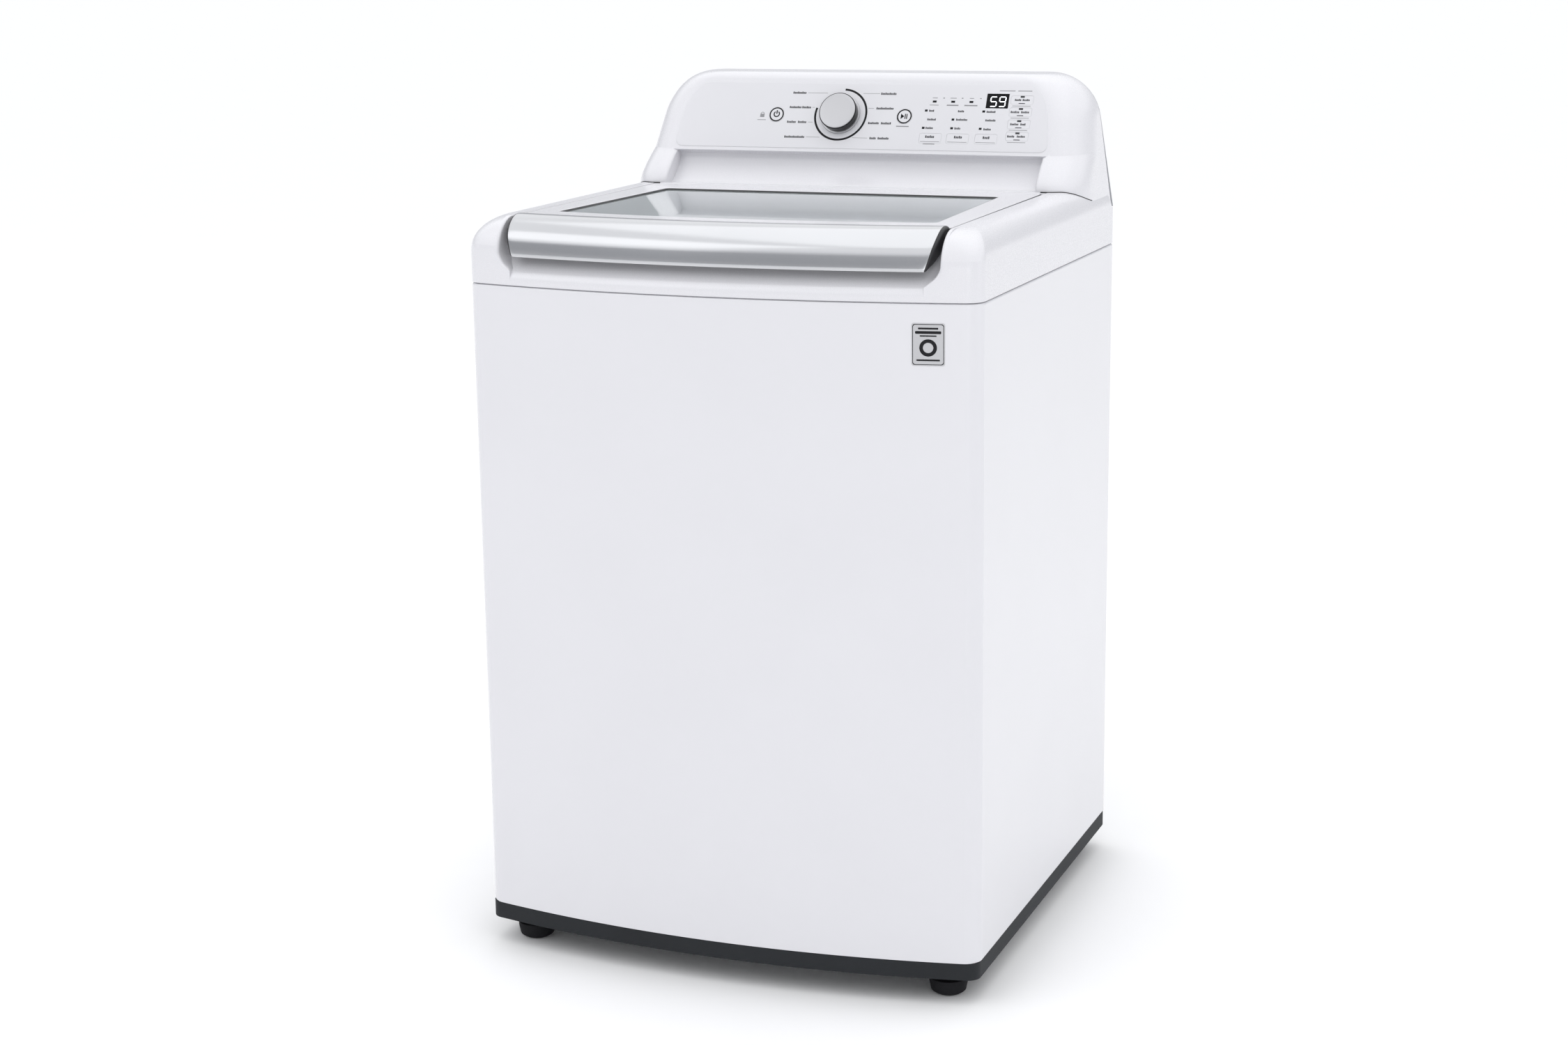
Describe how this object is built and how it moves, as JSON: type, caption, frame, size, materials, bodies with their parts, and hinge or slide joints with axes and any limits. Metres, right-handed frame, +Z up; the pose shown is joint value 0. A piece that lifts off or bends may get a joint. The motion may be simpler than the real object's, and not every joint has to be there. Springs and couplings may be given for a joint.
{
  "type": "top load washing machine",
  "caption": "Free-standing top load washing machine with a glazed lid, wide front lid handle, raised control console, impeller wash basket and levelling feet.",
  "frame": {"origin": "floor level, under the middle of the machine's bounding box", "axes": "+Z up, -Y towards the front where the user stands, +X to the user's right"},
  "size_m": [0.686, 0.721, 1.13],
  "materials": {
    "white_steel": "smooth gloss enamel",
    "white_plastic": "smooth semi-gloss moulding",
    "panel_film": "satin printed film",
    "charcoal_plastic": "fine moulded grain",
    "foot_rubber": "matte rubber",
    "silver_plastic": "metallic satin",
    "knob_silver": "metallic satin",
    "tinted_glass": "polished, grey tint",
    "black_glass": "gloss black",
    "stainless": "brushed",
    "shaft_steel": "ground",
    "galvanised": "zinc spangle",
    "cast_alloy": "as cast",
    "tub_plastic": "moulded grain",
    "light_plastic": "moulded grain",
    "drawer_plastic": "moulded grain",
    "black_plastic": "moulded grain",
    "hose_rubber": "matte rubber",
    "board": "solder mask",
    "copper_winding": "enamelled wire"
  },
  "bodies": {
    "root": {"cabinet": "white_steel", "rear_panel": "galvanised", "rear_screws": "shaft_steel", "base_frame": "charcoal_plastic", "foot_nuts": "shaft_steel", "top_cover": "white_plastic", "control_panel": "white_plastic", "panel_overlay": "panel_film", "console_back": "galvanised", "display_window": "black_glass", "display_board": "board", "main_board": "board", "water_valves": "light_plastic", "cord_gland": "hose_rubber", "drain_port": "black_plastic", "drain_hose": "hose_rubber", "drain_pump": "black_plastic", "sump_hose": "hose_rubber", "lid_lock": "black_plastic", "hinge_brackets": "black_plastic", "drawer_housing": "light_plastic", "corner_brackets": "galvanised", "suspension_rods": "shaft_steel", "suspension_springs": "shaft_steel"},
    "tub": {"outer_tub": "tub_plastic", "tub_cover": "light_plastic", "bearing_housing": "cast_alloy", "shaft_bearings": "shaft_steel", "shaft_seal": "hose_rubber", "motor_stator": "copper_winding", "damper_cups": "light_plastic"},
    "basket": {"wash_basket": "stainless", "balance_ring": "light_plastic", "basket_hub": "cast_alloy", "spin_shaft": "shaft_steel"},
    "agitator": {"wash_plate": "light_plastic", "plate_cap": "silver_plastic", "wash_shaft": "shaft_steel", "motor_rotor": "galvanised"},
    "pump_rotor": {"pump_impeller": "light_plastic"},
    "lid": {"lid_frame": "white_plastic", "lid_glass": "tinted_glass", "lid_handle": "silver_plastic", "lid_hinge_pins": "shaft_steel", "lid_strike": "black_plastic"},
    "knob": {"cycle_knob": "knob_silver"},
    "drawer": {"detergent_drawer": "drawer_plastic"},
    "power_key": {"power_key": "white_plastic"},
    "start_key": {"start_key": "white_plastic"},
    "temp_key": {"temp_key": "panel_film"},
    "spin_key": {"spin_key": "panel_film"},
    "soil_key": {"soil_key": "panel_film"},
    "side_key_1": {"side_key_1": "panel_film"},
    "side_key_2": {"side_key_2": "panel_film"},
    "side_key_3": {"side_key_3": "panel_film"},
    "side_key_4": {"side_key_4": "panel_film"},
    "foot_front_left": {"foot_front_left": "foot_rubber"},
    "foot_front_right": {"foot_front_right": "foot_rubber"},
    "foot_rear_left": {"foot_rear_left": "foot_rubber"},
    "foot_rear_right": {"foot_rear_right": "foot_rubber"}
  },
  "joints": [
    {"name": "lid_hinge", "type": "hinge", "parent": "root", "child": "lid", "pos_m": [0, 0.132, 0.966], "axis": [-1, 0, 0], "range_deg": [0, 98]},
    {"name": "tub_bounce", "type": "slide", "parent": "root", "child": "tub", "axis": [0, 0, 1], "range_m": [-0.03, 0.01], "stiffness_N_per_m": 14000, "springref_m": 0.02165, "deforming": ["suspension_springs", "sump_hose"]},
    {"name": "basket_spin", "type": "hinge", "parent": "tub", "child": "basket", "pos_m": [0, -0.02, 0.2], "axis": [0, 0, 1], "continuous": true},
    {"name": "agitator_spin", "type": "hinge", "parent": "basket", "child": "agitator", "pos_m": [0, -0.02, 0.2], "axis": [0, 0, 1], "continuous": true},
    {"name": "pump_spin", "type": "hinge", "parent": "root", "child": "pump_rotor", "pos_m": [-0.15, 0.12, 0.1], "axis": [0, 0, 1], "continuous": true},
    {"name": "cycle_knob_turn", "type": "hinge", "parent": "root", "child": "knob", "pos_m": [-0.0305, 0.22114, 1.07265], "axis": [0, -0.8886, 0.4587], "continuous": true},
    {"name": "drawer_slide", "type": "slide", "parent": "root", "child": "drawer", "axis": [0, -1, 0], "range_m": [0, 0.14]},
    {"name": "power_key_press", "type": "slide", "parent": "root", "child": "power_key", "axis": [0, 0.8886, -0.4587], "range_m": [0, 0.0008], "stiffness_N_per_m": 600, "springref_m": -0.0008},
    {"name": "start_key_press", "type": "slide", "parent": "root", "child": "start_key", "axis": [0, 0.8886, -0.4587], "range_m": [0, 0.0008], "stiffness_N_per_m": 600, "springref_m": -0.0008},
    {"name": "temp_key_press", "type": "slide", "parent": "root", "child": "temp_key", "axis": [0, 0.8886, -0.4587], "range_m": [0, 0.0008], "stiffness_N_per_m": 600, "springref_m": -0.0008},
    {"name": "spin_key_press", "type": "slide", "parent": "root", "child": "spin_key", "axis": [0, 0.8886, -0.4587], "range_m": [0, 0.0008], "stiffness_N_per_m": 600, "springref_m": -0.0008},
    {"name": "soil_key_press", "type": "slide", "parent": "root", "child": "soil_key", "axis": [0, 0.8886, -0.4587], "range_m": [0, 0.0008], "stiffness_N_per_m": 600, "springref_m": -0.0008},
    {"name": "side_key_1_press", "type": "slide", "parent": "root", "child": "side_key_1", "axis": [0, 0.8886, -0.4587], "range_m": [0, 0.0008], "stiffness_N_per_m": 600, "springref_m": -0.0008},
    {"name": "side_key_2_press", "type": "slide", "parent": "root", "child": "side_key_2", "axis": [0, 0.8886, -0.4587], "range_m": [0, 0.0008], "stiffness_N_per_m": 600, "springref_m": -0.0008},
    {"name": "side_key_3_press", "type": "slide", "parent": "root", "child": "side_key_3", "axis": [0, 0.8886, -0.4587], "range_m": [0, 0.0008], "stiffness_N_per_m": 600, "springref_m": -0.0008},
    {"name": "side_key_4_press", "type": "slide", "parent": "root", "child": "side_key_4", "axis": [0, 0.8886, -0.4587], "range_m": [0, 0.0008], "stiffness_N_per_m": 600, "springref_m": -0.0008},
    {"name": "foot_front_left_screw", "type": "slide", "parent": "root", "child": "foot_front_left", "axis": [0, 0, -1], "range_m": [0, 0.012]},
    {"name": "foot_front_right_screw", "type": "slide", "parent": "root", "child": "foot_front_right", "axis": [0, 0, -1], "range_m": [0, 0.012]},
    {"name": "foot_rear_left_screw", "type": "slide", "parent": "root", "child": "foot_rear_left", "axis": [0, 0, -1], "range_m": [0, 0.012]},
    {"name": "foot_rear_right_screw", "type": "slide", "parent": "root", "child": "foot_rear_right", "axis": [0, 0, -1], "range_m": [0, 0.012]}
  ]
}
